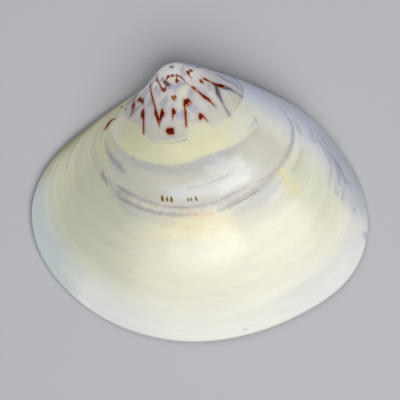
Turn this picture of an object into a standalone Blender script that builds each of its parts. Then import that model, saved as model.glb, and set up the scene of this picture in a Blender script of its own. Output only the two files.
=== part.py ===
"""Left valve of a hard clam, lying on the edge of its mouth with the outside up.

+X is the posterior end, +Y the hinge side with the beak, +Z the outside. The origin is
the middle of the valve's box, on the plane that it rests on. Lengths are in metres.

A clam grows by adding to its edge, so the outside is one outline that grows and turns
about the hinge axis. Every older edge is still there as a ring on the outside. All rings
pass close to one point of the axis, the pole, which lies under the tip of the beak.
"""

import math

import bmesh
import bpy
import numpy as np
from mathutils import Matrix, Vector

MM = 0.001

# The outline of the mouth. Its reach is measured from the middle, every 30 degrees
# counter-clockwise from +X, once for the grown shell and once for a very young one,
# which is drawn at the grown size. The fifth reach ends beside the pole.
MIDDLE = np.array([15.0, -26.0]) * MM  # from the pole
GROWN_REACH = np.array([26, 23, 22.5, 22.5, 29, 34, 43.5, 40.5, 33.5, 28.5, 27, 28]) * MM
YOUNG_REACH = np.array([35.5, 32.5, 29, 30.5, 29, 35.5, 41.5, 35.5, 30, 27.5, 27, 30.5]) * MM
SHAPE_CHANGE = 1.5  # how late the young outline turns into the grown one

# Growth. A ring of size 1 is the grown edge, and the ring of size s has turned by
# TURN * log(1 / s) about the hinge axis.
HINGE_AXIS = math.radians(25)  # from +X, so that the beak leans forward
TURN = 0.80
FIRST_RING = 0.022

# The edge and the inside.
LIP = 0.9 * MM  # height of the rounded edge
LIP_WIDTH = 0.7 * MM
EDGE_WIDTH = 1.8 * MM  # from the outside to the start of the hollow
HINGE_PLATE = 7.0 * MM  # how much wider the flat edge is under the beak
HINGE_MIDDLE = math.radians(116)
HINGE_HALF = math.radians(72)
HOLLOW_TOP = np.array([8.0, -20.0]) * MM  # from the pole
HOLLOW_DEPTH = 13.4 * MM
HOLLOW_ROUND = 22.0 * MM  # how wide the round top of the hollow is
SIDE_SAG = 0.2  # larger is a hollow with flatter sides, and -1 is an upright wall
SIDE_LEAN = 0.9  # how much flatter the front is than the back
LEAN_DIRECTION = math.radians(10)
HINGE_SAG = -0.8  # the same under the hinge plate, where the wall stands up

# Pits that leave the hinge teeth standing: middle from the pole, length, width, depth
# and the direction of the length.
HINGE_PITS = {
    "front_pit": ((0.2, -5.2), 5.0, 1.6, 1.5, 80),
    "back_pit": ((4.5, -4.8), 5.6, 1.7, 1.5, 125),
    "side_pit": ((-6.6, -7.8), 5.0, 1.2, 1.1, 34),
    "ligament_groove": ((14.4, -5.3), 13.0, 1.0, 0.9, 168),
}

# Sampling.
SPOKES = 72
OUTSIDE_RINGS = 26
RING_CROWDING = 1.4  # above 1 the rings lie closer together near the beak
LIP_STEPS = 3
HOLLOW_RINGS = 14
LAST_HOLLOW_SHARE = 0.08  # a fan of faces closes what is left of the hollow
PIT_SEGMENTS = 16
SHARP_ANGLE = math.radians(35)


def periodic_cubic(values, angle):
    """Smooth closed curve through values that are evenly spaced round a circle."""
    count = len(values)
    shift = np.eye(count)
    matrix = 4 * shift + np.roll(shift, 1, 1) + np.roll(shift, -1, 1)
    slopes = np.linalg.solve(matrix, 3 * (np.roll(values, -1) - np.roll(values, 1)))
    place = angle / (2 * np.pi) * count
    start = np.floor(place).astype(int)
    f = place - start
    here = start % count
    there = (start + 1) % count
    return (
        values[here] * (1 + 2 * f) * (1 - f) ** 2
        + slopes[here] * f * (1 - f) ** 2
        + values[there] * f**2 * (3 - 2 * f)
        - slopes[there] * f**2 * (1 - f)
    )


def in_plane(reach, angle):
    """Points of the mouth's plane at this reach from the middle, measured from the pole."""
    return np.stack(
        [MIDDLE[0] + reach * np.cos(angle), MIDDLE[1] + reach * np.sin(angle)], axis=-1
    )


def growth_ring(size, angle):
    """The ring of this size: the outline shrunk towards the pole and turned about the axis."""
    grown = size**SHAPE_CHANGE
    reach = grown * periodic_cubic(GROWN_REACH, angle)
    reach = reach + (1 - grown) * periodic_cubic(YOUNG_REACH, angle)
    flat = in_plane(reach, angle)
    along = np.array([math.cos(HINGE_AXIS), math.sin(HINGE_AXIS)])
    away = np.array([math.sin(HINGE_AXIS), -math.cos(HINGE_AXIS)])
    turn = TURN * math.log(1 / size)
    on_axis = flat @ along
    off_axis = flat @ away
    level = on_axis[:, None] * along + off_axis[:, None] * math.cos(turn) * away
    height = off_axis * math.sin(turn)
    return np.column_stack([size * level, LIP + size * height])


def hinge_share(angle):
    """1 at the middle of the hinge, falling smoothly to 0 where the plain edge begins."""
    from_middle = (angle - HINGE_MIDDLE + np.pi) % (2 * np.pi) - np.pi
    return 0.5 + 0.5 * np.cos(np.pi * np.clip(from_middle / HINGE_HALF, -1, 1))


def lip_ring(step, angle):
    """A quarter round from the grown edge down to the plane that the valve rests on."""
    quarter = step / LIP_STEPS * math.pi / 2
    inset = LIP_WIDTH * (1 - math.cos(quarter))
    flat = in_plane(periodic_cubic(GROWN_REACH, angle) - inset, angle)
    return np.column_stack([flat, np.full(len(angle), LIP * (1 - math.sin(quarter)))])


def hollow_ring(share, angle):
    """Share 1 is the inner end of the flat edge, share 0 the top of the hollow."""
    hinge = hinge_share(angle)
    reach = periodic_cubic(GROWN_REACH, angle) - EDGE_WIDTH - HINGE_PLATE * hinge
    circle = HOLLOW_ROUND * np.column_stack([np.cos(angle), np.sin(angle)])
    edge = in_plane(reach, angle) - HOLLOW_TOP
    flat = HOLLOW_TOP + share * ((1 - share) * circle + share * edge)
    sag = (1 - hinge) * (SIDE_SAG - SIDE_LEAN * np.cos(angle - LEAN_DIRECTION))
    sag = sag + hinge * HINGE_SAG
    height = HOLLOW_DEPTH * (1 - share**2) / (1 + sag * share**4)
    return np.column_stack([flat, height])


def valve_rings():
    """Every ring of the closed surface, from the tip of the beak to the top of the hollow."""
    angle = np.arange(SPOKES) * 2 * np.pi / SPOKES
    steps = np.linspace(0, 1, OUTSIDE_RINGS)
    sizes = FIRST_RING + (1 - FIRST_RING) * steps**RING_CROWDING
    rings = [growth_ring(size, angle) for size in sizes]
    rings += [lip_ring(step, angle) for step in range(1, LIP_STEPS + 1)]
    shares = np.linspace(1, LAST_HOLLOW_SHARE, HOLLOW_RINGS)
    rings += [hollow_ring(share, angle) for share in shares]
    return rings


def centre_on_box(rings):
    """Moves the rings so that the middle of their box is over the origin."""
    points = np.concatenate(rings)
    middle = (points.min(axis=0) + points.max(axis=0)) / 2
    middle[2] = 0
    return [ring - middle for ring in rings], Vector(-middle)


def skin(rings):
    """A mesh with a four-sided face between neighbours and a fan at both ends."""
    shell = bmesh.new()
    rows = [[shell.verts.new(point) for point in ring] for ring in rings]
    for row, next_row in zip(rows, rows[1:]):
        for i, corner in enumerate(row):
            j = (i + 1) % len(row)
            shell.faces.new((corner, next_row[i], next_row[j], row[j]))
    for row in (rows[0], rows[-1]):
        middle = sum((corner.co for corner in row), Vector()) / len(row)
        tip = shell.verts.new(middle)
        for i, corner in enumerate(row):
            shell.faces.new((corner, row[(i + 1) % len(row)], tip))
    bmesh.ops.recalc_face_normals(shell, faces=shell.faces)
    mesh = bpy.data.meshes.new("left_valve")
    shell.to_mesh(mesh)
    shell.free()
    return mesh


def glossy_shell():
    """Cream, polished shell."""
    material = bpy.data.materials.new("shell")
    material.use_nodes = True
    surface = material.node_tree.nodes["Principled BSDF"]
    surface.inputs["Base Color"].default_value = (0.80, 0.78, 0.66, 1)
    surface.inputs["Roughness"].default_value = 0.28
    surface.inputs["Metallic"].default_value = 0.0
    return material


def cut_pit(valve, name, pole, middle, length, width, depth, direction):
    """Cuts half an ellipsoid into the hinge plate from below."""
    mesh = bpy.data.meshes.new(name)
    ball = bmesh.new()
    bmesh.ops.create_uvsphere(
        ball, u_segments=PIT_SEGMENTS, v_segments=PIT_SEGMENTS // 2, radius=1
    )
    size = Vector((length / 2, width / 2, depth)) * MM
    bmesh.ops.scale(ball, vec=size, verts=ball.verts)
    ball.to_mesh(mesh)
    ball.free()
    cutter = bpy.data.objects.new(name, mesh)
    bpy.context.scene.collection.objects.link(cutter)
    cutter.rotation_euler.z = math.radians(direction)
    cutter.location = pole + Vector((middle[0], middle[1], 0)) * MM
    cutter.hide_render = True
    cutter.display_type = "WIRE"
    cut = valve.modifiers.new(name, "BOOLEAN")
    cut.operation = "DIFFERENCE"
    cut.object = cutter


def build():
    for thing in list(bpy.data.objects):
        bpy.data.objects.remove(thing)
    rings, pole = centre_on_box(valve_rings())
    mesh = skin(rings)
    mesh.materials.append(glossy_shell())
    mesh.shade_smooth()
    mesh.set_sharp_from_angle(angle=SHARP_ANGLE)
    valve = bpy.data.objects.new("left_valve", mesh)
    bpy.context.scene.collection.objects.link(valve)
    for name, (middle, length, width, depth, direction) in HINGE_PITS.items():
        cut_pit(valve, name, pole, middle, length, width, depth, direction)


build()
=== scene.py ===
"""Left valve of a hard clam, lying on a pale floor with its outside up.

+X is the posterior end, +Y the hinge side with the beak, +Z the outside. The valve is one
closed surface: the outside, the rounded lip, the flat edge with the hinge, and the hollow.

A clam grows by adding to its edge, so the outside is one outline that grows and turns
about the hinge axis. A place on it has a size, from 0 at the beak to 1 at the edge, and a
spoke, an angle counter-clockwise from +X about the middle of the outline. Colours and
marks are laid out in those two, as they were when the shell grew. The shapes are worked
out in millimetres from the pole, the point of the hinge axis that all rings pass.
"""

import math
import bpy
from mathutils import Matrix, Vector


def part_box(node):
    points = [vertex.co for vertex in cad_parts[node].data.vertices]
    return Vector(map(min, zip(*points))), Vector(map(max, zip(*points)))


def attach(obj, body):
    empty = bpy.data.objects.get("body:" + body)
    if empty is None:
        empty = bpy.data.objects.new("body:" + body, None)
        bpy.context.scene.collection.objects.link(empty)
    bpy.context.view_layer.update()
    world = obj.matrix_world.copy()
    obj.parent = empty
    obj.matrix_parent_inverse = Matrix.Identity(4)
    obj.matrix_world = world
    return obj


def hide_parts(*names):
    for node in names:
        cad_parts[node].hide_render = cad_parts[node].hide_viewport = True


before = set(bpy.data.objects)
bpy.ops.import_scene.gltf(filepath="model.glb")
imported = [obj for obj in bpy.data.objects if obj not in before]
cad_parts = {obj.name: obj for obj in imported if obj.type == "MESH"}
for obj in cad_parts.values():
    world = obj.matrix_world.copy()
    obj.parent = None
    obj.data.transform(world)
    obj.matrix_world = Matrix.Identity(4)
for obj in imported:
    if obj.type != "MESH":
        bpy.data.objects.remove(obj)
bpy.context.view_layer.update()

from types import SimpleNamespace

import bpy
import numpy as np
from mathutils import Vector

MM = 0.001

# ---------------------------------------------------------------- shape

# The outline's middle, and its reach from there every 30 degrees, grown and very young. A
# ring's outline goes from young to grown with its size to the power SHAPE_CHANGE.
MIDDLE = np.array([15.0, -26.0])
GROWN_REACH = np.array([26, 23, 22.5, 22.5, 29, 34, 43.5, 40.5, 33.5, 28.5, 27, 28])
YOUNG_REACH = np.array([35.5, 32.5, 29, 30.5, 29, 35.5, 41.5, 35.5, 30, 27.5, 27, 30.5])
SHAPE_CHANGE = 1.5
HINGE_AXIS = math.radians(25)  # direction of the axis that the rings turn about
TURN = 0.80  # radians of turn each time a ring is 2.718 times smaller
FIRST_RING = 0.022
ROW_CROWDING = 1.25  # above 1 the rows lie closer together near the beak

# The rounded lip, the flat edge, which widens to a plate at the hinge, and the hollow.
LIP = 0.9
LIP_WIDTH = 0.7
EDGE_WIDTH = 1.8
HINGE_PLATE = 7.0
HINGE_MIDDLE = math.radians(116)
HINGE_HALF = math.radians(72)
HOLLOW_TOP = np.array([8.0, -20.0])
HOLLOW_DEPTH = 13.4
HOLLOW_ROUND = 22.0  # radius of the circle that the plan tends to round the top
HOLLOW_EDGE = 0.35  # radius of the rounded start of the hollow

# How much lower than a plain bowl the hollow lies near its edge: all round, less by the lean
# towards one direction and more away from it, and at the hinge.
SIDE_SAG = 0.2
SIDE_LEAN = 0.9
LEAN_DIRECTION = math.radians(10)
HINGE_SAG = -0.8

# Pits between the hinge teeth: middle, length, width, depth and direction of the length.
HINGE_PITS = [
    ((0.2, -5.2), 5.0, 1.6, 1.5, 80),
    ((4.5, -4.8), 5.6, 1.7, 1.5, 125),
    ((-6.6, -7.8), 5.0, 1.2, 1.1, 34),
    ((14.4, -5.3), 13.0, 1.0, 0.9, 168),
]

# Where muscles held on to the inside: middle, half length, half width, direction.
MUSCLE_SCARS = [((-15.5, -21.0), 5.0, 3.2, 70), ((32.5, -21.5), 4.6, 3.8, 100)]
SCAR_DEPTH = 0.16
SCAR_RIM = 0.12  # how far in a scar's rim reaches, as a share that oval() gives
PIT_ROUND = 0.9  # the same for the round side of a hinge pit

# The line where the mantle was fixed, as a share of the way from the hollow's top to its edge.
PALLIAL_SHARE = 0.80
PALLIAL_HALF = 0.012
PALLIAL_DEPTH = 0.05
SINUS_DEPTH = 0.24
SINUS_SPOKE = math.radians(8)
SINUS_HALF = math.radians(24)

# Waves that growth left on the outside: length along the growth, height, both in
# millimetres, the number of turns of phase round the valve, and the phase.
GROWTH_LENGTH = 50.0
GROWTH_WAVES = [
    (7.3, 0.040, 1, 0.3),
    (4.7, 0.030, 2, 1.9),
    (3.1, 0.022, 1, 4.0),
    (2.3, 0.014, 3, 2.2),
    (1.7, 0.009, 2, 5.1),
]
WAVE_SWAY = 1.2  # how far the phase sways, in radians
FAST_GROWTH = 100.0  # distance from the pole, in millimetres, that a wave has its height at

# Checks, where growth paused: size, half width in size, depth.
GROWTH_CHECKS = [(0.362, 0.006, 0.05), (0.560, 0.006, 0.03), (0.586, 0.008, 0.06)]

# Incised lines in front of the beak and behind it: spoke in degrees, depth.
GROOVES = [(147, 0.14), (72, 0.08)]
GROOVE_HALF = 1.6

# The sizes between which the relief fades in near the beak, and out at the edge.
RELIEF_IN = (0.06, 0.25)
RELIEF_OUT = (0.975, 1.0)

# Rows of the grid, and columns.
SPOKES = 360
OUTSIDE_ROWS = 176
LIP_ROWS = 5
PLATE_ROWS = 24
HOLLOW_ROWS = 60


def periodic_cubic(values, angle):
    """Smooth closed curve through values that are evenly spaced round a circle: between two
    of them a cubic that has their values, and slopes that make the bending continuous."""
    count = len(values)
    shift = np.eye(count)
    matrix = 4 * shift + np.roll(shift, 1, 1) + np.roll(shift, -1, 1)
    slopes = np.linalg.solve(matrix, 3 * (np.roll(values, -1) - np.roll(values, 1)))
    place = angle / (2 * np.pi) * count
    start = np.floor(place).astype(int)
    f = place - start
    here = start % count
    there = (start + 1) % count
    return (
        values[here] * (1 + 2 * f) * (1 - f) ** 2
        + slopes[here] * f * (1 - f) ** 2
        + values[there] * f**2 * (3 - 2 * f)
        - slopes[there] * f**2 * (1 - f)
    )


def smooth_step(low, high, value):
    """0 below low, 1 above high, and a cubic with level ends in between."""
    f = np.clip((value - low) / (high - low), 0, 1)
    return f * f * (3 - 2 * f)


def with_height(flat, height):
    """Points in space from places in the plane and a height for each."""
    return np.concatenate([flat, height[..., None]], axis=-1)


def in_plane(reach, angle):
    """The middle of the outline, plus the reach along the spoke."""
    x = MIDDLE[0] + reach * np.cos(angle)
    y = MIDDLE[1] + reach * np.sin(angle)
    return np.stack([x, y], axis=-1)


def laid_flat(size, angle):
    """The ring before it turned: the outline between young and grown, times the size."""
    grown = size**SHAPE_CHANGE
    reach = grown * periodic_cubic(GROWN_REACH, angle)
    reach = reach + (1 - grown) * periodic_cubic(YOUNG_REACH, angle)
    return size[..., None] * in_plane(reach, angle)


def growth_surface(size, angle):
    """The flat ring turned about the hinge axis by TURN times the log of one over the size:
    what lies off the axis keeps the cosine of the turn in the plane and rises by its sine."""
    flat = laid_flat(size, angle)
    along = np.array([math.cos(HINGE_AXIS), math.sin(HINGE_AXIS)])
    away = np.array([math.sin(HINGE_AXIS), -math.cos(HINGE_AXIS)])
    turn = TURN * np.log(1 / size)
    on_axis = flat @ along
    off_axis = flat @ away
    level = on_axis[..., None] * along + (off_axis * np.cos(turn))[..., None] * away
    return with_height(level, LIP + off_axis * np.sin(turn))


def growth_relief(size, angle):
    """How far the outside stands out: waves along the growth, each with its phase swaying
    round the valve and lower where the growth is slower, less a bell-shaped dip at each
    check and a fine groove along the spokes that bound the lunule and the escutcheon."""
    relief = np.zeros_like(size)
    for length, height, turns, phase in GROWTH_WAVES:
        sway = WAVE_SWAY * np.sin(turns * angle + 2 * phase)
        relief += height * np.sin(2 * np.pi * size * GROWTH_LENGTH / length + phase + sway)
    relief *= np.hypot(*np.moveaxis(laid_flat(size, angle), -1, 0)) / (size * FAST_GROWTH)
    for check, half, depth in GROWTH_CHECKS:
        relief -= depth * np.exp(-(((size - check) / half) ** 2))
    degrees = np.degrees(angle) % 360
    for spoke, depth in GROOVES:
        relief -= depth * np.exp(-(((degrees - spoke) / GROOVE_HALF) ** 2))
    return relief * smooth_step(*RELIEF_IN, size) * (1 - smooth_step(*RELIEF_OUT, size))


def outside(size, angle):
    """The growth surface, moved out along its own normal by the relief."""
    points = growth_surface(size, angle)
    down = np.gradient(points, axis=0)
    round_it = np.roll(points, -1, axis=1) - np.roll(points, 1, axis=1)
    normal = np.cross(down, round_it)
    normal /= np.linalg.norm(normal, axis=-1, keepdims=True)
    return points + normal * growth_relief(size, angle)[..., None]


def hinge_share(angle):
    """1 at the middle of the hinge, falling as a cosine to 0 where the plain edge begins."""
    from_middle = (angle - HINGE_MIDDLE + np.pi) % (2 * np.pi) - np.pi
    return 0.5 + 0.5 * np.cos(np.pi * np.clip(from_middle / HINGE_HALF, -1, 1))


def lip(quarter, angle):
    """A quarter circle from the grown edge down to the floor and LIP_WIDTH inwards."""
    inset = LIP_WIDTH * (1 - np.cos(quarter))
    flat = in_plane(periodic_cubic(GROWN_REACH, angle) - inset, angle)
    return with_height(flat, LIP * (1 - np.sin(quarter)))


def oval(flat, middle, half_length, half_width, degrees):
    """1 at the middle of an oval, falling with the square of the distance to 0 at its rim
    and below 0 outside it."""
    turn = math.radians(degrees)
    offset = flat - np.array(middle)
    along = offset @ np.array([math.cos(turn), math.sin(turn)])
    across = offset @ np.array([-math.sin(turn), math.cos(turn)])
    return 1 - (along / half_length) ** 2 - (across / half_width) ** 2


def plate(share, angle):
    """The flat edge, from the lip at share 0 to the start of the hollow at share 1, with
    a rounded pit at each hollow between the hinge teeth."""
    inset = LIP_WIDTH + share * (EDGE_WIDTH + HINGE_PLATE * hinge_share(angle) - LIP_WIDTH)
    flat = in_plane(periodic_cubic(GROWN_REACH, angle) - inset, angle)
    height = np.zeros_like(share)
    for middle, length, width, depth, degrees in HINGE_PITS:
        inside = oval(flat, middle, length / 2, width / 2, degrees)
        height = np.maximum(height, depth * np.sqrt(smooth_step(0, PIT_ROUND, inside)))
    return with_height(flat, height)


def muscle_scars(flat):
    """1 inside the two scars and 0 outside, with a narrow edge."""
    masks = [smooth_step(0, SCAR_RIM, oval(flat, *scar)) for scar in MUSCLE_SCARS]
    return np.maximum(*masks)


def pallial_line(angle):
    """Share of the line where the mantle was fixed: even with the edge, but for the bay
    that the siphons left at the back."""
    from_bay = (angle - SINUS_SPOKE + np.pi) % (2 * np.pi) - np.pi
    bay = 0.5 + 0.5 * np.cos(np.pi * np.clip(from_bay / SINUS_HALF, -1, 1))
    return PALLIAL_SHARE - SINUS_DEPTH * bay


def hollow(share, angle):
    """From the flat edge at share 1 to the top of the hollow at share 0: the plan goes from
    the edge to a circle round the top, the height is a bowl with a steeper hinge side, and
    the bowl starts with a small round. Scars and the pallial line are pressed in."""
    hinge = hinge_share(angle)
    reach = periodic_cubic(GROWN_REACH, angle) - EDGE_WIDTH - HINGE_PLATE * hinge
    circle = HOLLOW_ROUND * np.stack([np.cos(angle), np.sin(angle)], axis=-1)
    edge = in_plane(reach, angle) - HOLLOW_TOP
    s = share[..., None]
    flat = HOLLOW_TOP + s * ((1 - s) * circle + s * edge)
    sag = (1 - hinge) * (SIDE_SAG - SIDE_LEAN * np.cos(angle - LEAN_DIRECTION))
    sag = sag + hinge * HINGE_SAG
    height = HOLLOW_DEPTH * (1 - share**2) / (1 + sag * share**4)
    height = np.hypot(height, HOLLOW_EDGE) - HOLLOW_EDGE
    line = np.exp(-(((share - pallial_line(angle)) / PALLIAL_HALF) ** 2))
    pressed = SCAR_DEPTH * muscle_scars(flat) + PALLIAL_DEPTH * line * (1 - hinge)
    return with_height(flat, height + pressed)


def valve_surface():
    """The rows of the closed surface, from the tip of the beak over the outside, round the
    lip and over the flat edge to the top of the hollow, with what the finish needs to know
    of each point."""
    spokes = np.arange(SPOKES) * 2 * np.pi / SPOKES
    steps = np.linspace(0, 1, OUTSIDE_ROWS)
    sizes = FIRST_RING + (1 - FIRST_RING) * steps**ROW_CROWDING
    quarters = np.linspace(0, np.pi / 2, LIP_ROWS + 1)[1:]
    plates = np.linspace(0, 1, PLATE_ROWS + 1)[1:]
    hollows = np.linspace(1, 0, HOLLOW_ROWS + 1)[1:-1]

    def grid(rows):
        return np.meshgrid(rows, spokes, indexing="ij")

    parts = [
        outside(*grid(sizes)),
        lip(*grid(quarters)),
        plate(*grid(plates)),
        hollow(*grid(hollows)),
    ]
    points = np.concatenate(parts)
    under = len(points) - OUTSIDE_ROWS
    past_edge = smooth_step(0, LIP_ROWS, np.arange(under) + 1)
    turned_in = np.concatenate([np.zeros(OUTSIDE_ROWS), past_edge])
    turned_in = np.repeat(turned_in[:, None], SPOKES, axis=1)
    size = np.concatenate([sizes, np.ones(under)])
    share = np.concatenate([np.ones(len(points) - len(hollows)), hollows])
    size, angle = grid(size)
    flat = laid_flat(size, angle)
    share = np.repeat(share[:, None], SPOKES, axis=1)
    scars = np.where(share < 1, muscle_scars(points[..., :2]), 0)
    known = {
        "growth": with_height(flat, size),
        "spoke": np.stack([np.cos(angle), np.sin(angle), turned_in], -1),
        "hollow": np.stack([share, scars, share - pallial_line(angle)], -1),
    }
    return points, known


def closed_mesh(name, points, known):
    """Four-sided faces between neighbours on the grid, and a fan of triangles to a point of
    its own past the first row and past the last. The box of the result has its middle over
    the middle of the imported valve's box."""
    rows, columns = points.shape[:2]
    corner = np.arange(rows * columns).reshape(rows, columns)
    after = np.roll(corner, -1, axis=1)
    quads = np.stack([corner[:-1], corner[1:], after[1:], after[:-1]], axis=-1).reshape(-1, 4)
    first = np.full(columns, rows * columns)
    last = first + 1
    first_fan = np.stack([corner[0], after[0], first], axis=-1)
    last_fan = np.stack([after[-1], corner[-1], last], axis=-1)
    fans = np.concatenate([first_fan, last_fan])

    def with_ends(values):
        ends = values[[0, -1]].mean(axis=1)
        return np.concatenate([values.reshape(-1, 3), ends])

    places = with_ends(points) * MM
    low, high = np.array(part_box("left_valve"))
    move = (low + high - places.min(axis=0) - places.max(axis=0)) / 2
    move[2] = 0
    mesh = bpy.data.meshes.new(name)
    mesh.from_pydata(places + move, [], quads.tolist() + fans.tolist())
    for label, values in known.items():
        layer = mesh.attributes.new(label, "FLOAT_VECTOR", "POINT")
        layer.data.foreach_set("vector", with_ends(values).ravel())
    mesh.shade_smooth()
    return mesh


# ---------------------------------------------------------------- shader tools


class Wire:
    """The output of a node. Python arithmetic on it adds Math nodes."""

    def __init__(self, paint, socket):
        self.paint = paint
        self.socket = socket

    def math(self, operation, *values):
        return self.paint.node("Math", {"operation": operation}, dict(enumerate(values)))

    def __add__(self, other):
        return self.math("ADD", self, other)

    def __sub__(self, other):
        return self.math("SUBTRACT", self, other)

    def __rsub__(self, other):
        return self.math("SUBTRACT", other, self)

    def __mul__(self, other):
        return self.math("MULTIPLY", self, other)

    __radd__ = __add__
    __rmul__ = __mul__

    def __abs__(self):
        return self.math("ABSOLUTE", self)

    def lower(self, other):
        return self.math("MINIMUM", self, other)

    def higher(self, other):
        return self.math("MAXIMUM", self, other)

    def step(self, low, high):
        """0 below low, 1 above high, smooth in between. With low above high it falls."""
        settings = {"interpolation_type": "SMOOTHSTEP"}
        return self.paint.node("MapRange", settings, {"Value": self, 1: low, 2: high})


class Paint:
    """A material and its nodes."""

    def __init__(self, name):
        self.material = bpy.data.materials.new(name)
        self.material.use_nodes = True
        self.tree = self.material.node_tree
        self.surface = self.tree.nodes["Principled BSDF"]

    def feed(self, socket, value):
        if isinstance(value, Wire):
            self.tree.links.new(value.socket, socket)
        else:
            socket.default_value = value

    def node(self, kind, settings, values, output=0):
        """A node of this kind, with its settings, its inputs' values or wires, and the
        output that is used."""
        node = self.tree.nodes.new("ShaderNode" + kind)
        for name, value in settings.items():
            setattr(node, name, value)
        for place, value in values.items():
            self.feed(node.inputs[place], value)
        return Wire(self, node.outputs[output])

    def vector(self, operation, *values, output=0):
        return self.node("VectorMath", {"operation": operation}, dict(enumerate(values)), output)

    def attribute(self, name):
        return self.node("Attribute", {"attribute_name": name}, {}, "Vector")

    def parts(self, vector):
        return [self.node("SeparateXYZ", {}, {0: vector}, axis) for axis in "XYZ"]

    def joined(self, x, y, z):
        return self.node("CombineXYZ", {}, {0: x, 1: y, 2: z})

    def noise(self, place, scale=1.0, detail=2.0, roughness=0.5):
        """Smooth noise about 0, mostly between -0.3 and 0.3."""
        values = {"Vector": place, "Scale": scale, "Detail": detail, "Roughness": roughness}
        return self.node("TexNoise", {}, values) - 0.5

    def mix(self, amount, first, second, kind="MIX"):
        settings = {"data_type": "RGBA", "blend_type": kind}
        return self.node("Mix", settings, {0: amount, 6: first, 7: second}, 2)

    def bump(self, height, distance):
        """A normal from a height between about 0 and 1, worth this distance in metres."""
        return self.node("Bump", {}, {"Strength": 1.0, "Distance": distance, "Height": height})


def tone(red, green, blue):
    """A colour from its parts on a screen, 0 to 255, as the linear parts of a shader."""
    parts = np.array([red, green, blue]) / 255
    linear = np.where(parts <= 0.04045, parts / 12.92, ((parts + 0.055) / 1.055) ** 2.4)
    return (*linear.tolist(), 1.0)


# ---------------------------------------------------------------- the outside's colours

CREAM = tone(210, 207, 187)
WARM_CREAM = tone(214, 210, 189)
BUTTER = tone(218, 211, 172)
YOUNG_CREAM = tone(208, 205, 172)
YOUNG_FRONT = tone(218, 215, 197)
YOUNG_BACK = tone(206, 205, 190)
GREY_CREAM = tone(189, 187, 174)
PALE_GREY = tone(205, 206, 202)
OLIVE_CREAM = tone(183, 184, 162)
FRONT_CREAM = tone(198, 196, 172)
FRONT_TAN = tone(145, 140, 111)
FRONT_OLIVE = tone(120, 107, 66)
FLANK_GREY = tone(176, 181, 186)
FLANK_GREEN = tone(197, 200, 176)
BACK_BLUE = tone(203, 209, 221)
BACK_VIOLET = tone(180, 187, 214)
EDGE_WHITE = tone(208, 209, 205)
EDGE_SHADE = tone(178, 187, 188)
# Painted shade on the back slope beside the hinge, which faces away from the lights.
BACK_SLOPE_PAINTED_SHADE = tone(128, 128, 138)
# Chalky white, partly painted glint: streaks of painted highlight along the rings.
CHALK_AND_GLINT = tone(220, 222, 220)
BLUSH = tone(224, 196, 158)
YELLOW = tone(208, 202, 156)
# Pale cream: along the bottom edge, and as a painted highlight on the lower flank.
PALE_CREAM_AND_HIGHLIGHT = tone(235, 235, 212)
UMBO_GREY = tone(207, 202, 197)
UMBO_BLUE = tone(194, 197, 214)
UMBO_EDGE = tone(193, 189, 176)
# The beak's top: partly its own whiteness and partly painted light falling on it.
BEAK_WHITE_AND_PAINTED_LIGHT = tone(247, 241, 238)
CLOUD_LILAC = tone(160, 157, 174)
CLOUD_CREAM = tone(222, 216, 192)
RAY_VIOLET = tone(116, 104, 128)

PORCELAIN = tone(232, 228, 219)
PORCELAIN_COOL = tone(214, 217, 221)
PORCELAIN_WARM = tone(228, 214, 194)
HINGE_CREAM = tone(226, 218, 196)
PIT_TAN = tone(176, 154, 118)

# Stains are multiplied with the colour below them.
SCAR_STAIN = tone(238, 234, 230)
MANTLE_STAIN = tone(222, 219, 214)
BACK_STAIN = tone(158, 132, 172)
LILAC_STAIN = tone(214, 211, 230)
LINE_STAIN = tone(206, 202, 222)
FLANK_STAIN = tone(186, 183, 210)
OLIVE_STAIN = tone(208, 212, 194)
HALO_STAIN = tone(176, 170, 206)
DARK_STAIN = tone(140, 136, 150)
BAND_STAIN = tone(239, 241, 251)
# Painted shade, multiplied like the stains, where the beak turns down at the back.
PAINTED_BEAK_SHADE = tone(184, 182, 190)

MARK_RED = tone(106, 32, 4)
MARK_MAROON = tone(56, 4, 4)
MARK_RIM = tone(184, 100, 34)
MARK_TAN = tone(170, 98, 48)
MARK_BROWN = tone(104, 44, 10)
OCHRE = tone(116, 84, 14)
SLATE = tone(84, 82, 92)
NIGHT = tone(58, 44, 62)

# The polish. The inside is smoother than the outside, and has this much more coat.
ROUGHNESS = 0.36
INSIDE_SMOOTHER = 0.1
GLOSS = 0.2
COAT = 0.15
INSIDE_COAT = 0.15
COAT_ROUGHNESS = 0.15
STRIAE_HEIGHT = 0.05 * MM

# The tan front reaches to this spoke at the beak, and this much further round at the edge.
FRONT_SPOKE = 143
FRONT_TURN = 29
INSIDE_REACH = 25  # millimetres from the hollow's top to its edge, for patterns on it

# Zones of colour, each over the ones before: the window of size that it lies in, the window of
# spoke, strength and colour. A window is where it starts, where it ends, and half the width of
# its soft ends; past 0 or 1, and past spoke 450, it has no end, and None takes in everything.
GROUND_ZONES = [
    ((0.67, 0.89, 0.05), None, 1.0, WARM_CREAM),
    ((0.5915, 0.6725, 0.0225), (232, 300, 16), 0.7, BUTTER),
    (None, (120, 222, 18), 1.0, OLIVE_CREAM),
    (None, (120, 187, 9), 1.0, FRONT_CREAM),
    ((0.89, 2.0, 0.09), (205, 400, 10), 1.0, EDGE_WHITE),
    ((0.89, 2.0, 0.09), (172, 207, 8), 1.0, EDGE_SHADE),
    ((0.89, 2.0, 0.09), (238, 294, 12), 0.35, PALE_CREAM_AND_HIGHLIGHT),
    ((-1.0, 0.535, 0.035), (176, 206, 7), 0.7, YOUNG_CREAM),
    ((-1.0, 0.565, 0.02), (198, 350, 9), 1.0, GREY_CREAM),
    ((0.492, 0.538, 0.015), (245, 320, 15), 0.8, PALE_GREY),
]
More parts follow.
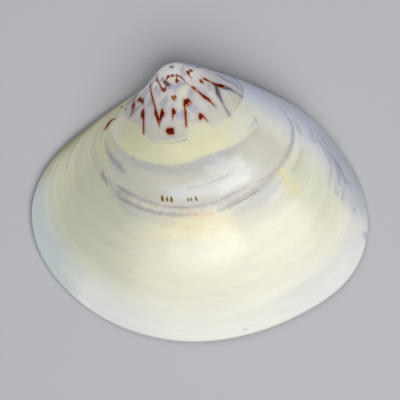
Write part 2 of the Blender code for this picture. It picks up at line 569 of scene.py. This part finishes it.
BACK_ZONES = [
    ((0.555, 0.665, 0.025), (285, 342, 12), 0.6, GREY_CREAM),
    ((0.59, 0.81, 0.05), (330, 352, 7), 0.7, FLANK_GREEN),
    (None, (361, 999, 17), 1.0, BACK_BLUE),
    ((0.76, 2.0, 0.08), (352, 382, 8), 0.8, FLANK_GREY),
    ((-1.0, 0.52, 0.06), (401, 999, 7), 0.8, BACK_VIOLET),
    # painted shade on the back slope beside the hinge
    (None, (413, 999, 13), 1.0, BACK_SLOPE_PAINTED_SHADE),
]
UMBO_ZONES = [
    ((0.3025, 2.0, 0.0325), None, 0.9, UMBO_EDGE),
    # the beak's top painted whiter, partly painted light
    ((-1.0, 0.20, 0.06), None, 1.0, BEAK_WHITE_AND_PAINTED_LIGHT),
    (None, (364, 999, 14), 1.0, UMBO_BLUE),
]

# Dark brown marks of the young shell, each a chain of (spoke, size, half width in mm). A half
# width below 0 makes a stroke fainter as well as thinner.
BROWN_MARKS = [
    [(180, 0.394, 0.12), (177, 0.432, 0.26), (178, 0.454, 0.34), (180, 0.474, 0.14)],
    [(189, 0.238, 0.19), (193.5, 0.260, 0.43), (196.2, 0.251, 0.43), (199.5, 0.293, 0.07)],
    [(200.8, 0.218, 0.47), (207.5, 0.220, 0.45), (213.2, 0.220, 0.24)],
    [(212.2, 0.224, 0.47), (214.8, 0.229, 0.25), (216.2, 0.240, 0.04)],
    [
        (217.8, 0.261, 0.38), (218.2, 0.270, 0.55), (219.8, 0.280, 0.50), (221.8, 0.291, 0.24),
        (224, 0.339, 0.19),
    ],
    [(219, 0.140, 0.14), (232, 0.195, 0.21), (240.8, 0.248, 0.19), (241, 0.269, 0.34)],
    [(241.2, 0.264, 0.37), (244.8, 0.290, 0.38), (245.5, 0.311, 0.08)],
    [(252.5, 0.262, 0.35), (251.8, 0.273, 0.58), (248, 0.288, 0.31), (248, 0.300, 0.04)],
    [(321, 0.236, 0.07), (324, 0.271, 0.36), (326, 0.283, 0.33), (327.2, 0.315, 0.04)],
    [(270.8, 0.267, 0.29), (270.8, 0.275, 0.49), (268.8, 0.279, 0.25), (266.3, 0.294, 0.09)],
    [(295.8, 0.259, 0.61), (299.8, 0.257, 0.41), (303.2, 0.267, 0.07), (294.2, 0.272, 0.15)],
    [(291.5, 0.265, 0.34), (290, 0.271, 0.16), (286.8, 0.290, 0.28), (280.8, 0.327, 0.19)],
    [(255.8, 0.327, 0.47), (261.5, 0.328, 0.48)],
    [(256.8, 0.333, 0.40), (262, 0.336, 0.33)],
    [(304.5, 0.316, 0.51), (302.5, 0.321, 0.34), (307, 0.319, 0.25), (308.2, 0.339, 0.04)],
    [
        (344.8, 0.224, 0.30), (348, 0.246, 0.15), (348.8, 0.261, 0.38), (350.8, 0.271, 0.41),
        (352.8, 0.279, 0.54), (356, 0.292, 0.07),
    ],
]

# Lighter brown marks near the beak.
TAN_MARKS = [
    [(171, 0.375, 0.20), (172, 0.370, 0.20)],
    [(168, 0.396, 0.16), (168, 0.400, 0.16)],
    [(183.2, 0.305, 0.24), (185, 0.310, 0.10)],
    [(248, 0.119, 0.10), (246.5, 0.142, 0.34), (252.5, 0.154, 0.13), (259.8, 0.189, 0.25)],
    [(260, 0.189, 0.35), (264.8, 0.196, 0.41), (269.8, 0.189, 0.20)],
    [(273.5, 0.164, 0.55), (274.5, 0.162, 0.08), (284.8, 0.151, 0.43)],
    [(288.5, 0.146, 0.12), (297.2, 0.157, 0.10), (297, 0.156, 0.41), (298.8, 0.159, 0.19)],
    [(307.5, 0.161, 0.29), (303.5, 0.170, 0.14), (300, 0.183, 0.42)],
    [
        (308.2, 0.165, 0.15), (312.8, 0.172, 0.23), (315, 0.204, 0.04), (317.8, 0.219, 0.04),
        (320, 0.231, 0.42),
    ],
    [
        (276.8, 0.228, 0.30), (277.5, 0.235, 0.27), (277.8, 0.243, 0.05), (284, 0.234, 0.04),
        (282, 0.231, 0.38),
    ],
    [(338.2, 0.218, 0.25), (337.5, 0.225, 0.38), (337.2, 0.233, 0.19)],
    [(340, 0.170, 0.50), (337.2, 0.170, 0.09), (334.8, 0.170, 0.50)],
    [(332.8, 0.174, 0.41), (329.5, 0.182, 0.17), (328.8, 0.199, 0.09)],
]

# The grey continuation of some marks, and dark spots at the top of the beak.
GREY_MARKS = [
    [
        (351, 0.272, 0.51), (353.8, 0.288, 0.60), (357, 0.307, 0.37), (358.5, 0.333, 0.04),
        (359, 0.356, 0.11),
    ],
    [
        (349, 0.263, 0.44), (346, 0.272, 0.33), (341.5, 0.287, 0.47), (335.8, 0.324, 0.08),
        (332.8, 0.358, 0.12),
    ],
    [(312, 0.109, 0.34), (312, 0.114, 0.30)],
    [(363, 0.176, 0.30), (361, 0.171, 0.20)],
    [(181, 0.214, 0.24), (183, 0.230, 0.36), (184, 0.246, 0.12)],
    [(279.8, 0.185, 0.22), (274.8, 0.178, 0.45), (269.8, 0.190, 0.04)],
]

# Soft rays and clouds between the marks, and light wedges.
VIOLET_RAYS = [
    [(222, 0.154, 0.10), (210, 0.176, 0.20), (203, 0.205, 0.12)],
    [(236, 0.116, 0.20), (248, 0.116, 0.20)],
    [(165, 0.275, 0.10), (172, 0.271, 0.26), (178, 0.276, 0.24), (178, 0.297, 0.10)],
    [(201, 0.262, 0.30), (201, 0.282, 0.44), (200, 0.304, 0.14)],
    [(210, 0.244, 0.12), (206, 0.262, 0.24), (203, 0.284, 0.10)],
    [(222, 0.175, 0.12), (217, 0.192, 0.24), (213, 0.211, 0.12)],
    [(175, 0.290, 0.24), (177, 0.303, 0.16)],
    [(268, 0.150, 0.10), (270, 0.163, 0.22), (273, 0.178, 0.10)],
    [(370, 0.258, 0.10), (368, 0.290, 0.26), (371, 0.328, 0.14), (366, 0.346, 0.06)],
    [(240, 0.120, 0.10), (229, 0.150, 0.18), (226, 0.170, 0.10)],
]
LILAC_CLOUDS = [
    [(244, 0.180, 0.5), (252, 0.202, 0.4)],
    [(272, 0.196, 0.3), (282, 0.194, 0.7), (292, 0.201, 0.7), (302, 0.192, 0.6), (310, 0.205, 0.4)],
    [(331, 0.146, 0.3), (322, 0.168, 0.4), (316, 0.182, 0.2)],
    [(313, 0.225, 0.3), (312, 0.240, 0.6)],
    [(300, 0.274, 0.5), (301, 0.288, 0.7)],
    [(258, 0.238, 0.6), (263, 0.230, 0.4)],
    [(276, 0.290, 0.4), (289, 0.292, 0.3)],
    [(232, 0.223, 0.5), (231, 0.235, 0.3)],
    [(262, 0.150, 0.5), (270, 0.160, 0.3)],
    [(338, 0.262, 0.3), (341, 0.250, 0.3)],
]
CREAM_CLOUDS = [
    [(309, 0.217, 0.5), (298, 0.230, 0.7), (291, 0.248, 0.7), (284, 0.262, 0.5)],
    [(286, 0.166, 0.2), (298, 0.173, 0.2), (292, 0.182, 0.3)],
]
YOUNG_PATCHES = [
    [(284, 0.340, 0.7), (284, 0.356, 0.8)],
    [(286, 0.342, 0.9), (304, 0.350, 0.8)],
    [(303, 0.336, 0.3), (303, 0.356, 0.4)],
]

# Growth lines and bands: chains of (spoke, size, half width in mm) that follow the rings.
DARK_LINES = [
    [(216, 0.361, -0.10), (219, 0.364, -0.06)],
    [(206, 0.358, -0.12), (208.5, 0.359, -0.08)],
    [
        (236, 0.363, -0.14), (246, 0.365, -0.08), (256, 0.366, -0.06), (266, 0.365, -0.05),
        (276, 0.363, 0.00),
    ],
    [(286, 0.363, -0.11), (287.9, 0.365, -0.10)],
    [
        (308, 0.362, -0.16), (334, 0.358, -0.12), (343, 0.356, -0.09), (358, 0.354, -0.06),
        (375, 0.363, 0.12),
    ],
    [
        (376.3, 0.361, 0.11), (387, 0.368, 0.05), (398, 0.383, 0.24), (404.7, 0.408, 0.18),
        (418.1, 0.450, 0.01),
    ],
    [
        (285.2, 0.593, -0.14), (291.3, 0.587, -0.06), (305.3, 0.580, 0.00), (315.9, 0.581, -0.09),
        (333, 0.579, -0.08),
    ],
    [(335.7, 0.578, -0.10), (351.2, 0.578, -0.09), (367, 0.583, -0.06), (374.5, 0.575, -0.16)],
]
BROAD_LINES = [
    [
        (206.6, 0.560, 0.12), (215.6, 0.555, 0.45), (222, 0.554, 0.26), (244, 0.558, 0.16),
        (256, 0.559, 0.16),
    ],
    [
        (256, 0.559, 0.16), (272, 0.557, 0.22), (282, 0.557, 0.20), (297, 0.552, 0.20),
        (306, 0.553, 0.10),
    ],
    [(304.6, 0.551, 0.02), (311.5, 0.553, -0.12), (324, 0.566, 0.18), (333.4, 0.564, 0.14)],
    [
        (207.1, 0.586, 0.11), (214.5, 0.586, 0.30), (225.3, 0.584, 0.31), (234, 0.584, 0.39),
        (250, 0.582, 0.26),
    ],
    [(251.5, 0.582, 0.24), (265.5, 0.580, -0.14)],
    [
        (279.8, 0.584, 0.14), (294, 0.579, 0.27), (300.6, 0.575, 0.15), (322.1, 0.571, 0.27),
        (331, 0.570, 0.17),
    ],
    [
        (332.4, 0.569, 0.12), (339.3, 0.568, 0.30), (355.1, 0.571, 0.38), (365.2, 0.573, 0.30),
        (371.3, 0.570, 0.47),
    ],
    [(370, 0.576, 0.31), (380.4, 0.554, 0.31)],
    [(197.8, 0.554, 0.22), (199, 0.566, 0.50), (202.3, 0.571, 0.40), (204.9, 0.586, 0.10)],
    [(203.4, 0.559, 0.22), (207.3, 0.573, 0.20), (217.1, 0.574, 0.18)],
    [(216.4, 0.444, 0.05), (216.1, 0.429, 0.01), (229.7, 0.430, -0.06)],
    [
        (262.7, 0.500, 0.07), (273, 0.503, 0.01), (286.9, 0.501, 0.09), (301.2, 0.499, 0.01),
        (312.7, 0.495, -0.22),
    ],
    [(158, 0.815, 0.05), (164, 0.790, 0.18), (171, 0.772, 0.22), (180, 0.765, 0.05)],
    [(272.5, 0.981, 0.15), (272.5, 0.982, 0.09)],
]
FLANK_STREAKS = [
    [
        (188, 0.476, -0.30), (192, 0.482, 0.00), (200.5, 0.488, 0.16), (208, 0.489, 0.08),
        (211.5, 0.498, -0.15),
    ],
    [
        (372.8, 0.735, 0.13), (361.3, 0.766, -0.02), (364.8, 0.771, -0.07), (369.5, 0.774, -0.06),
        (349.6, 0.759, -0.20),
    ],
    [
        (369.1, 0.804, 0.14), (365.5, 0.816, 0.54), (365.8, 0.831, 0.48), (359.4, 0.855, 0.19),
        (361.2, 0.888, -0.35),
    ],
    [(363.2, 0.810, 0.25), (361.8, 0.817, 0.17), (354.9, 0.810, -0.09)],
    [(353.5, 0.786, -0.28), (349.5, 0.798, -0.09), (349.7, 0.806, -0.02)],
    [(354.9, 0.840, -0.18), (349.1, 0.834, -0.08), (349.2, 0.834, -0.05)],
    [(349.4, 0.904, -0.01), (349.4, 0.905, 0.00), (348.9, 0.914, -0.12)],
    [(343.8, 0.978, -0.06), (343.5, 0.990, 0.24)],
    [(349, 0.420, -0.20), (347.4, 0.430, 0.05), (347, 0.438, -0.20)],
    [(335, 0.427, -0.50), (344, 0.424, -0.40)],
]
OLIVE_STREAKS = [
    [(379.6, 0.715, -0.05), (368.6, 0.681, 0.45), (370.4, 0.710, 0.09)],
    [(373, 0.604, 0.16), (369.8, 0.608, 0.49), (367.5, 0.616, 0.18)],
    [(356.1, 0.618, -0.16), (347, 0.614, 0.03), (340, 0.614, 0.08)],
]
SOFT_BANDS = [
    [(187, 0.474, 0.2), (192, 0.472, 0.5), (199, 0.484, 0.8), (207, 0.492, 0.8), (213, 0.495, 0.3)],
    [(213, 0.441, 0.1), (226, 0.440, 0.6), (252, 0.440, 0.7), (270, 0.443, 1.0), (294, 0.445, 1.2)],
    [(294, 0.445, 1.2), (308, 0.445, 0.8), (316, 0.442, 0.1)],
    [(208, 0.604, 0.3), (222, 0.606, 1.0), (238, 0.608, 1.0), (248, 0.606, 0.2)],
    [(246, 0.348, 0.0), (262, 0.349, 0.1), (275, 0.350, 0.0)],
    [(288, 0.608, 0.2), (306, 0.602, 0.9), (322, 0.598, 0.8), (332, 0.596, 0.2)],
]
# Chalky white patches along the rings, partly painted glints where the gloss catches the light.
CHALK_AND_GLINT_PATCHES = [
    [(285, 0.468, 0.7), (300, 0.468, 1.3), (316, 0.490, 0.8)],
    [(287, 0.528, 0.4), (300, 0.526, 0.9), (311, 0.520, 0.5)],
    [(317, 0.622, 0.0), (322, 0.622, 0.1), (326, 0.620, 0.0)],
]
YELLOW_PATCHES = [
    [(334.5, 0.580, 0.7), (333.5, 0.600, 0.9), (332, 0.625, 0.8)],
    [(331, 0.638, 1.2), (334, 0.648, 1.1)],
]
# A painted highlight: a broad pale patch where the soft light's sheen falls.
PAINTED_HIGHLIGHT_PATCHES = [
    [(252, 0.702, 2.8), (270, 0.695, 2.8), (281, 0.685, 2.4)],
]
BLUSH_PATCHES = [
    [(259, 0.583, 0.10), (264, 0.584, 0.25)],
    [(264, 0.484, 0.10), (268, 0.488, 0.25)],
    [(258, 0.574, 0.3), (268, 0.584, 0.7), (275, 0.588, 0.5)],
]
OCHRE_DASHES = [
    [(241.6, 0.5325, 0.34), (241.6, 0.5370, 0.38)],
    [(245.0, 0.5340, 0.28), (245.0, 0.5370, 0.30)],
    [(248.3, 0.5330, 0.32), (248.1, 0.5375, 0.34)],
    [(260.6, 0.5345, 0.22), (260.6, 0.5370, 0.22)],
    [(262.9, 0.5345, 0.20), (262.9, 0.5370, 0.20)],
    [(266.8, 0.5340, 0.26), (266.8, 0.5370, 0.28)],
]

# How the strokes are laid on: chains, how far each noise frays them in millimetres, the depths
# inside a stroke at which it starts and is full, strength, and colour.
PATCH_LAYERS = [
    (YELLOW_PATCHES, [2.0], (-0.4, 0.4), 0.65, YELLOW),
    # the painted highlight
    (PAINTED_HIGHLIGHT_PATCHES, [2.0], (-1.6, 1.8), 0.45, PALE_CREAM_AND_HIGHLIGHT),
    (BLUSH_PATCHES, [1.0], (-0.3, 0.3), 0.5, BLUSH),
]
CLOUD_LAYERS = [
    (LILAC_CLOUDS, [1.6], (-0.7, 0.5), 0.65, CLOUD_LILAC),
]
UMBO_LAYERS = [
    (CREAM_CLOUDS, [1.2], (-0.4, 0.2), 0.8, CLOUD_CREAM),
    (YOUNG_PATCHES, [1.2], (-0.4, 0.2), 0.8, YOUNG_CREAM),
    (VIOLET_RAYS, [0.4], (-0.45, 0.35), 0.7, RAY_VIOLET),
]
# The chalky patches, partly painted glint.
CHALK_AND_GLINT_LAYERS = [
    (CHALK_AND_GLINT_PATCHES, [5.0, 2.0], (-0.7, 0.7), 0.35, CHALK_AND_GLINT),
]
STAIN_LAYERS = [
    (OLIVE_STREAKS, [0.8, 0.8], (-1.1, 0.6), 0.6, OLIVE_STAIN),
    (SOFT_BANDS, [1.6, 0.8], (-0.7, 0.6), 1.0, BAND_STAIN),
    (FLANK_STREAKS, [1.0, 0.6], (-0.9, 0.4), 0.7, FLANK_STAIN),
    (DARK_LINES, [0.1], (-0.22, 0.12), 0.85, DARK_STAIN),
]

# Millimetres along a ring for each degree of spoke, on the rings in the middle.
ROUND_MM = 0.35


def flat_place(spoke, size):
    """Where a place of the outside is when the growth is laid flat, as three numbers."""
    x, y = laid_flat(np.array(float(size)), np.array(math.radians(spoke)))
    return np.array([x, y, 0.0])


def ring_place(spoke, size):
    """Where a place is on a strip on which all rings are straight."""
    return np.array([spoke * ROUND_MM, size * GROWTH_LENGTH, 0.0])


def strokes(paint, place, lay, chains):
    """How deep a place lies inside the nearest stroke, in millimetres, and below 0 outside:
    the stroke's half width at the nearest point of its line, less the distance to it."""
    deepest = None
    for chain in chains:
        for (spoke, size, half), (next_spoke, next_size, next_half) in zip(chain, chain[1:]):
            start = lay(spoke, size)
            line = lay(next_spoke, next_size) - start
            offset = paint.vector("SUBTRACT", place, tuple(start))
            along = paint.vector("DOT_PRODUCT", offset, tuple(line / (line @ line)), output=1)
            along = along.higher(0.0).lower(1.0)
            scaled = {0: tuple(line), "Scale": along}
            nearest = paint.node("VectorMath", {"operation": "SCALE"}, scaled)
            gap = paint.vector("DISTANCE", offset, nearest, output=1)
            depth = along.math("MULTIPLY_ADD", along, next_half - half, half) - gap
            deepest = depth if deepest is None else deepest.higher(depth)
    return deepest


def window(value, start, end, soft):
    """1 between the start and the end, with ends that are soft over this much to each side."""
    return value.step(start - soft, start + soft) * value.step(end + soft, end - soft)


def with_zones(paint, colour, size, angle, zones):
    """The colour with zones over it, each where its windows of size and spoke meet."""
    for growth, sector, strength, shade in zones:
        amount = strength
        if growth:
            amount = window(size, *growth) * amount
        if sector:
            amount = window(angle, *sector) * amount
        colour = paint.mix(amount, colour, shade)
    return colour


def with_strokes(paint, colour, place, lay, noises, layers, kind="MIX"):
    """The colour with layers of strokes over it, each frayed by its share of the noises."""
    for chains, frays, (start, full), strength, shade in layers:
        depth = strokes(paint, place, lay, chains)
        for noise, fray in zip(noises, frays):
            depth = depth + noise * fray
        colour = paint.mix(depth.step(start, full) * strength, colour, shade, kind)
    return colour


def read_growth(paint):
    """The places and the directions that the outside's colours are laid out in."""
    x, y, size = paint.parts(paint.attribute("growth"))
    cosine, sine, inside = paint.parts(paint.attribute("spoke"))
    share, scar, beyond_line = paint.parts(paint.attribute("hollow"))
    angle = sine.math("ARCTAN2", sine, cosine) * math.degrees(1)
    angle = angle.math("WRAP", angle, 450.0, 90.0)
    return SimpleNamespace(
        place=paint.joined(x, y, 0.0),
        strip=paint.joined(angle * ROUND_MM, size * GROWTH_LENGTH, 0.0),
        size=size,
        angle=angle,
        cosine=cosine,
        sine=sine,
        inside=inside,
        share=share,
        scar=scar,
        beyond_line=beyond_line,
    )


def along_rings(paint, at, round_scale, growth_scale, detail=2.0):
    """Noise drawn out along the growth rings."""
    grown = at.size + at.share - 1
    place = paint.joined(at.cosine * round_scale, at.sine * round_scale, grown * growth_scale)
    return paint.noise(place, detail=detail)


def ground_colour(paint, at):
    """Cream that turns olive and tan towards the front, bluish towards the back, and
    white at the edge, with a butter band and paler zones of growth further in, and
    painted shade on the back slope beside the hinge."""
    size = at.size + along_rings(paint, at, 1.2, 3.0) * 0.04
    angle = at.angle + paint.noise(at.place, 0.07) * 26
    colour = with_zones(paint, CREAM, size, angle, GROUND_ZONES)
    tan = paint.mix(at.size.step(0.65, 0.45), FRONT_TAN, FRONT_OLIVE)
    front = at.size * FRONT_TURN + FRONT_SPOKE
    colour = paint.mix((angle - front).step(10.0, -10.0), colour, tan)
    cream = paint.mix(angle.step(206, 190), YOUNG_CREAM, YOUNG_FRONT)
    cream = paint.mix(angle.step(305, 345), cream, YOUNG_BACK)
    young = size.step(0.435, 0.425) * window(angle, 181, 352, 8)
    colour = paint.mix(young, colour, cream)
    return with_zones(paint, colour, size, angle, BACK_ZONES)


def growth_lines(paint, at, colour):
    """Fine streaks along the growth, then chalky patches that are partly painted glint, stains
    and the broad lines, which are uneven, with a stain between the two outer ones."""
    broad = along_rings(paint, at, 2.0, 26.0, detail=3.0)
    fine = along_rings(paint, at, 6.0, 110.0, detail=3.0)
    streaks = (broad * 0.45 + fine * 0.4 + 0.08).higher(0.0)
    colour = paint.mix(streaks, colour, LILAC_STAIN, "MULTIPLY")
    wisps = paint.noise(at.place, 0.9, detail=4.0, roughness=0.6)
    brush = along_rings(paint, at, 6.0, 90.0, detail=3.0)
    noises = [brush, wisps]
    colour = with_strokes(paint, colour, at.strip, ring_place, noises, CHALK_AND_GLINT_LAYERS)
    colour = with_strokes(paint, colour, at.strip, ring_place, noises, STAIN_LAYERS, "MULTIPLY")
    uneven = paint.noise(at.place, 0.25, detail=2.0) + 0.85
    lines = [(BROAD_LINES, [0.5, 0.4], (-0.34, 0.36), uneven, LINE_STAIN)]
    colour = with_strokes(paint, colour, at.strip, ring_place, noises, lines, "MULTIPLY")
    between = window(at.size, 0.559, 0.589, 0.007) * window(at.angle, 214, 320, 8)
    return paint.mix(between * (wisps + 0.28), colour, LINE_STAIN, "MULTIPLY")


def umbo_colour(paint, at, colour):
    """Inside the first growth line: grey, white on the beak, partly painted light on its
    top, painted shade where the beak turns down at the back, and clouds in rays.
    """
    wisps = paint.noise(at.place, 0.9, detail=4.0, roughness=0.6)
    rays = paint.noise(paint.joined(at.cosine * 9.0, at.sine * 9.0, at.size * 8.0), detail=3.0)
    grey = paint.mix((rays * 1.2 + wisps * 0.6 + 0.08).higher(0.0), UMBO_GREY, CLOUD_LILAC)
    grey = with_zones(paint, grey, at.size, at.angle, UMBO_ZONES)
    # Painted shade where the beak's top turns down at the back.
    beak = (at.size - at.angle.step(360, 392) * 0.04).step(0.20, 0.13)
    grey = paint.mix(beak * at.angle.step(330, 360), grey, PAINTED_BEAK_SHADE, "MULTIPLY")
    grey = with_strokes(paint, grey, at.place, flat_place, [wisps], CLOUD_LAYERS)
    smaller_in_front = at.angle.step(234, 214) * 0.045
    umbo = (at.size + wisps * 0.02 + smaller_in_front).step(0.369, 0.353)
    colour = paint.mix(umbo, colour, grey)
    return with_strokes(paint, colour, at.place, flat_place, [wisps], UMBO_LAYERS)


def marks(paint, at, colour):
    """Ochre dashes, slate and tan marks, then the dark ones: red-brown, blotched with
    maroon, inside a narrow orange-brown rim. Slate and dark marks have a lilac halo."""
    ragged = paint.noise(at.place, 3.0, detail=4.0, roughness=0.6)
    serrated = along_rings(paint, at, 10.0, 160.0)
    rough = ragged * 0.25 + serrated * 0.15
    grey = strokes(paint, at.place, flat_place, GREY_MARKS) + rough
    brown = strokes(paint, at.place, flat_place, BROWN_MARKS) + rough
    halo = grey.higher(brown).step(-0.7, 0.0)
    colour = paint.mix(halo * 0.35, colour, HALO_STAIN, "MULTIPLY")
    slate = paint.mix(at.size.step(0.292, 0.268), SLATE, NIGHT)
    colour = paint.mix(grey.step(-0.18, 0.22) * 0.9, colour, slate)
    ochre = strokes(paint, at.strip, ring_place, OCHRE_DASHES) + rough * 0.6
    colour = paint.mix(ochre.step(-0.18, 0.16), colour, OCHRE)
    tan = strokes(paint, at.place, flat_place, TAN_MARKS) + rough
    colour = paint.mix(tan.step(-0.14, 0.08) * 0.9, colour, MARK_TAN)
    colour = paint.mix(tan.step(0.07, 0.28), colour, MARK_BROWN)
    back = at.angle.step(336, 350) * 0.8
    deep = brown.step(0.10, 0.40) * 0.6 + ragged * 2.4 + back + 0.1
    core = paint.mix(deep.higher(0.0), MARK_RED, MARK_MAROON)
    colour = paint.mix(brown.step(-0.12, 0.03) * 0.9, colour, MARK_RIM)
    return paint.mix(brown.step(0.03, 0.18), colour, core)


def outside_colour(paint, at):
    """Ground, patches with a painted highlight among them, the young shell, growth lines, and marks
    on top.
    """
    colour = ground_colour(paint, at)
    patchy = paint.noise(at.place, 0.5, detail=3.0)
    colour = with_strokes(paint, colour, at.strip, ring_place, [patchy], PATCH_LAYERS)
    colour = umbo_colour(paint, at, colour)
    colour = growth_lines(paint, at, colour)
    return marks(paint, at, colour)


def inside_colour(paint, at):
    """Porcelain: cool near the edge and warm behind the mantle's line, with a violet stain
    at the back edge, greyer scars, and cream on the hinge with tan in its pits."""
    reach = at.share * INSIDE_REACH
    place = paint.joined(at.cosine * reach, at.sine * reach, 0.0)
    clouds = paint.noise(place, 0.08, detail=3.0)
    rings = along_rings(paint, at, 1.5, 24.0, detail=3.0)
    colour = paint.mix((clouds * 1.6 + rings * 0.8 + 0.3).higher(0.0), PORCELAIN, PORCELAIN_COOL)
    warm = (at.beyond_line + clouds * 0.1).step(0.02, -0.12)
    colour = paint.mix(warm * 0.55, colour, PORCELAIN_WARM)
    wisps = paint.noise(place, 0.5, detail=4.0, roughness=0.6)
    back = window(at.angle + clouds * 40, 340, 418, 22)
    back = back * (at.share + wisps * 0.2).step(0.62, 0.95)
    colour = paint.mix(back * (wisps * 0.9 + 0.75), colour, BACK_STAIN, "MULTIPLY")
    line = abs(at.beyond_line + wisps * 0.01).step(0.022, 0.004)
    colour = paint.mix(line * 0.6, colour, MANTLE_STAIN, "MULTIPLY")
    colour = paint.mix(at.scar * (rings + 0.8), colour, SCAR_STAIN, "MULTIPLY")
    height = paint.parts(paint.node("TexCoord", {}, {}, "Object"))[2]
    on_edge = at.share.step(0.985, 1.0)
    hinge = on_edge * window(at.angle, 90, 188, 12).higher(at.angle.step(398, 422))
    colour = paint.mix(hinge * 0.8, colour, HINGE_CREAM)
    pit = hinge * height.step(0.0001, 0.0009)
    return paint.mix(pit * 0.8, colour, PIT_TAN)


def shell_finish():
    """Polished shell: the marked outside, and smoother porcelain on the inside."""
    paint = Paint("shell")
    at = read_growth(paint)
    colour = paint.mix(at.inside, outside_colour(paint, at), inside_colour(paint, at))
    paint.feed(paint.surface.inputs["Base Color"], colour)
    worn = (along_rings(paint, at, 4.0, 60.0) + at.scar * 0.3) * 0.2
    paint.feed(paint.surface.inputs["Roughness"], worn - at.inside * INSIDE_SMOOTHER + ROUGHNESS)
    paint.feed(paint.surface.inputs["Coat Weight"], at.inside * INSIDE_COAT + COAT)
    striae = along_rings(paint, at, 3.0, 100.0, detail=4.0)
    paint.feed(paint.surface.inputs["Normal"], paint.bump(striae, STRIAE_HEIGHT))
    paint.surface.inputs["Specular IOR Level"].default_value = GLOSS
    paint.surface.inputs["Coat Roughness"].default_value = COAT_ROUGHNESS
    return paint.material


# ---------------------------------------------------------------- room


FLOOR_DARK = tone(160, 162, 166)
FLOOR_LIGHT = tone(172, 173, 175)
FLOOR_ROUGHNESS = 0.8
FLOOR_HALF = 2.0
FLOOR_DROP = 0.2 * MM
FLOOR_CORNERS = [(-1, -1), (1, -1), (1, 1), (-1, 1)]

# Round soft lights that face the valve: compass angle from +X and height above the floor in
# degrees, distance and width in metres, power in watts, and whether gloss mirrors the light.
LIGHTS = {
    "key": (-60, 52, 0.8, 0.85, 7.5, True),
    "fill": (110, 54, 0.9, 0.7, 3.6, False),
    "glint": (-38, 73, 0.8, 0.14, 0.19, True),
}
ROOM_COLOUR = (0.92, 0.96, 1.0, 1.0)
ROOM_STRENGTH = 0.13

# The camera looks straight down, from far enough to keep only a little perspective.
CAMERA_PLACE = (0.07 * MM, 0.5 * MM, 0.55)
CAMERA_SENSOR = 36.0
CAMERA_LENS = 236.2


def floor_finish():
    paint = Paint("floor")
    place = paint.node("TexCoord", {}, {}, "Object")
    tint = paint.noise(place, 60.0, detail=4.0) * 0.06 + 0.5
    colour = paint.mix(tint, FLOOR_DARK, FLOOR_LIGHT)
    paint.feed(paint.surface.inputs["Base Color"], colour)
    paint.surface.inputs["Roughness"].default_value = FLOOR_ROUGHNESS
    return paint.material


def add_floor():
    """A square just below the valve's edge."""
    corners = [(x * FLOOR_HALF, y * FLOOR_HALF, -FLOOR_DROP) for x, y in FLOOR_CORNERS]
    mesh = bpy.data.meshes.new("floor")
    mesh.from_pydata(corners, [], [(0, 1, 2, 3)])
    mesh.materials.append(floor_finish())
    floor = bpy.data.objects.new("floor", mesh)
    bpy.context.scene.collection.objects.link(floor)


def add_light(name, compass, height, distance, width, power, mirrored):
    light = bpy.data.lights.new(name, "AREA")
    light.shape = "DISK"
    light.size = width
    light.energy = power
    lamp = bpy.data.objects.new(name, light)
    around = math.radians(compass)
    up = math.radians(height)
    level = math.cos(up)
    direction = Vector((level * math.cos(around), level * math.sin(around), math.sin(up)))
    lamp.location = direction * distance
    lamp.rotation_euler = direction.to_track_quat("Z", "Y").to_euler()
    lamp.visible_camera = False
    lamp.visible_glossy = mirrored
    bpy.context.scene.collection.objects.link(lamp)


def add_room_light():
    world = bpy.data.worlds.new("room")
    world.use_nodes = True
    background = world.node_tree.nodes["Background"]
    background.inputs["Color"].default_value = ROOM_COLOUR
    background.inputs["Strength"].default_value = ROOM_STRENGTH
    bpy.context.scene.world = world


def add_camera():
    camera = bpy.data.cameras.new("camera")
    camera.sensor_width = CAMERA_SENSOR
    camera.lens = CAMERA_LENS
    eye = bpy.data.objects.new("camera", camera)
    eye.location = CAMERA_PLACE
    bpy.context.scene.collection.objects.link(eye)
    bpy.context.scene.camera = eye
    bpy.context.scene.view_settings.view_transform = "Standard"


def add_shell():
    mesh = closed_mesh("shell_surface", *valve_surface())
    mesh.materials.append(shell_finish())
    shell = bpy.data.objects.new("shell_surface", mesh)
    bpy.context.scene.collection.objects.link(shell)
    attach(shell, "root")
    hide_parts("left_valve")


add_shell()
add_floor()
for light_name, setting in LIGHTS.items():
    add_light(light_name, *setting)
add_room_light()
add_camera()
